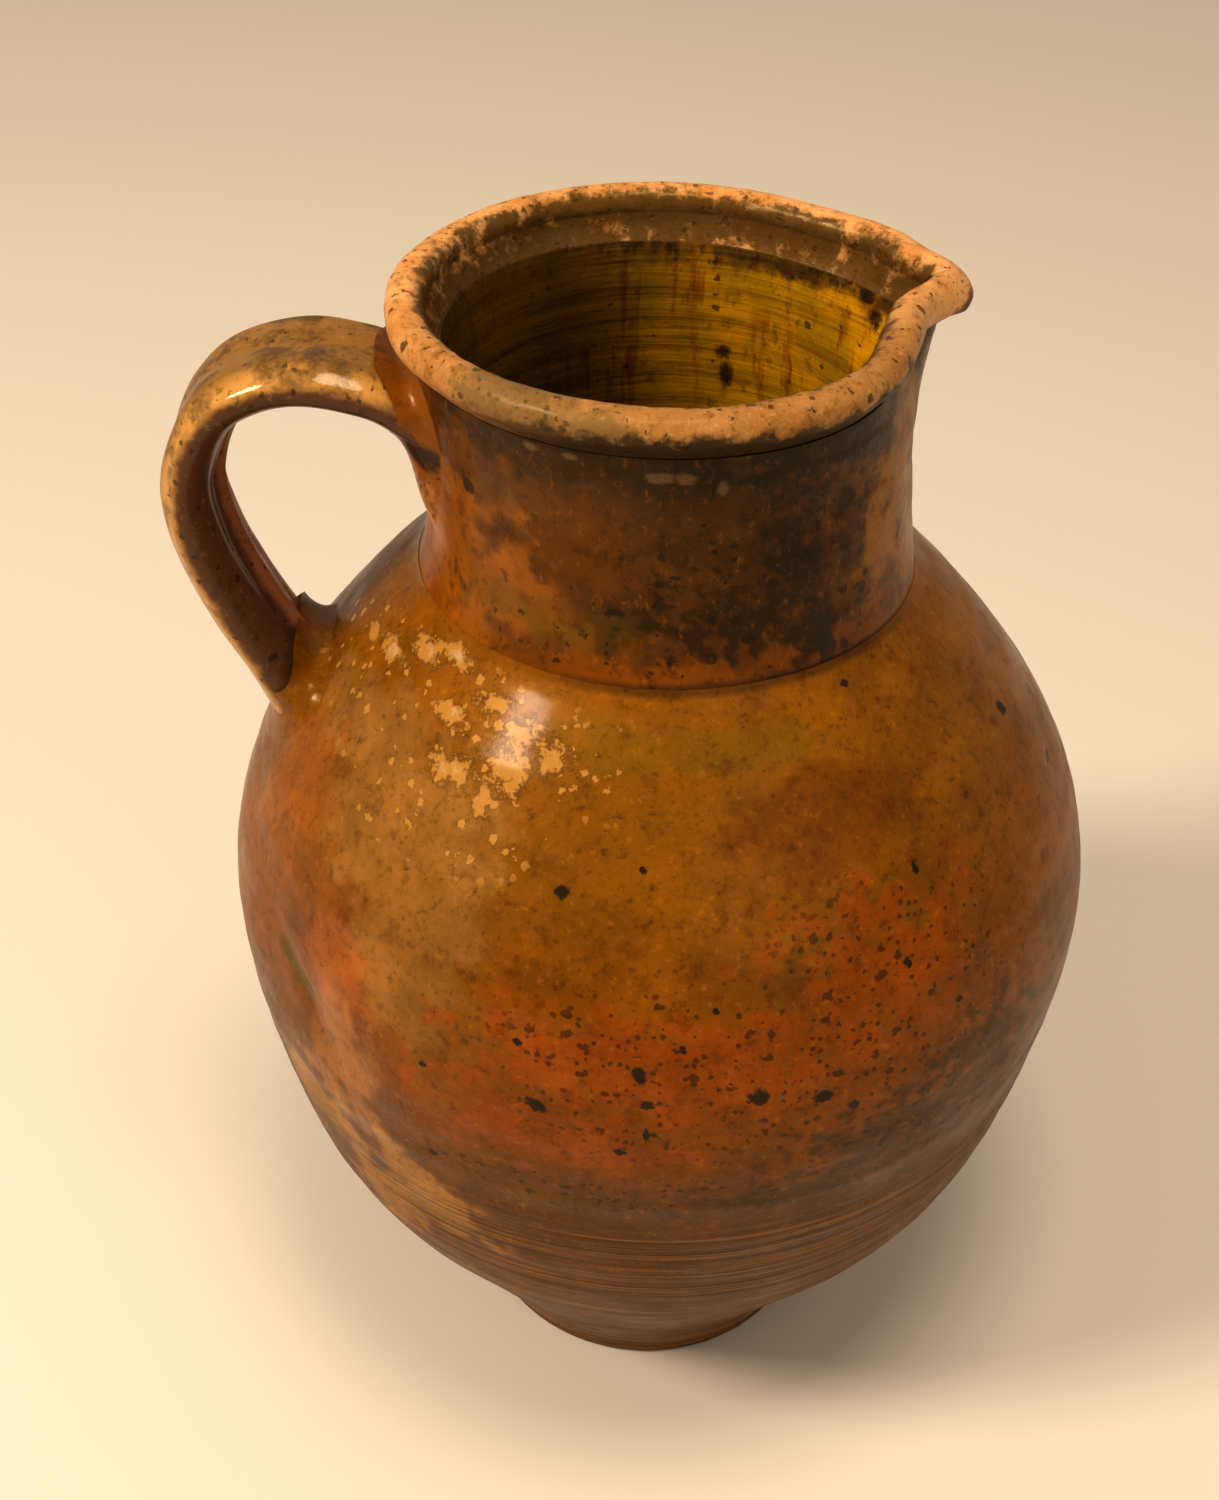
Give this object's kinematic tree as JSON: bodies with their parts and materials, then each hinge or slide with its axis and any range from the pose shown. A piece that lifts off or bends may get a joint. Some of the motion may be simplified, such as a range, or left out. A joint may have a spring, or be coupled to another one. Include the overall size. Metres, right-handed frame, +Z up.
{
  "type": "pouring jug",
  "caption": "Round-bellied stoneware pouring jug with a straight neck, rolled rim, pinched spout and pulled strap handle.",
  "frame": {"origin": "centre of the flat foot, on the surface that the jug stands on", "axes": "+Z up through the mouth; the spout points roughly along +X, the handle roughly along -X"},
  "size_m": [0.2477, 0.24, 0.3456],
  "materials": {
    "turned_clay": "matt fired clay with turning rings",
    "salt_glaze": "semi-gloss salt glaze, orange brown with iron spots",
    "dark_glaze": "semi-gloss salt glaze, flashed dark brown",
    "toasted_rim": "dry toasted clay, worn pale and speckled",
    "ochre_glaze": "gloss yellow-brown glaze with runs"
  },
  "bodies": {
    "root": {"foot_slab": "turned_clay", "lower_belly": "turned_clay", "upper_belly": "salt_glaze", "neck_collar": "dark_glaze", "rolled_rim": "toasted_rim", "strap_handle": "salt_glaze", "upper_lute": "dark_glaze", "lower_lute": "salt_glaze", "glaze_lining": "ochre_glaze"}
  },
  "joints": []
}
